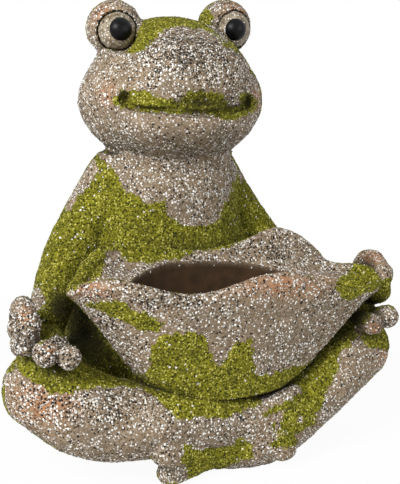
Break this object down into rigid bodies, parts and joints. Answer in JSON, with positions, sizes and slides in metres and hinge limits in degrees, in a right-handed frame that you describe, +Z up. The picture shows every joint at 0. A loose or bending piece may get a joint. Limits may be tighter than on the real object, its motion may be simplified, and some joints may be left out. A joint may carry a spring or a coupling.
{
  "type": "frog figurine",
  "caption": "Cross-legged garden frog with looped fingers that rests its hands on its knees and holds a leaf-shaped planter bowl in its lap.",
  "frame": {"origin": "centre of the body's flat underside, on the floor", "axes": "+Z up, -Y the way the frog faces, +X the frog's left"},
  "size_m": [0.355, 0.2342, 0.403],
  "materials": {
    "mossy_stone": "matte",
    "bowl_stone": "matte",
    "eye_cream": "satin",
    "pupil_black": "gloss"
  },
  "bodies": {
    "root": {"torso": "mossy_stone", "head": "mossy_stone", "leaf_bowl": "bowl_stone", "left_thigh": "mossy_stone", "right_thigh": "mossy_stone", "left_shin": "mossy_stone", "right_shin": "mossy_stone", "left_arm": "mossy_stone", "right_arm": "mossy_stone", "left_hand": "mossy_stone", "right_hand": "mossy_stone", "left_finger_loop": "mossy_stone", "right_finger_loop": "mossy_stone", "left_foot": "mossy_stone", "right_foot": "mossy_stone", "left_eyeball": "eye_cream", "right_eyeball": "eye_cream", "left_pupil": "pupil_black", "right_pupil": "pupil_black"}
  },
  "joints": []
}
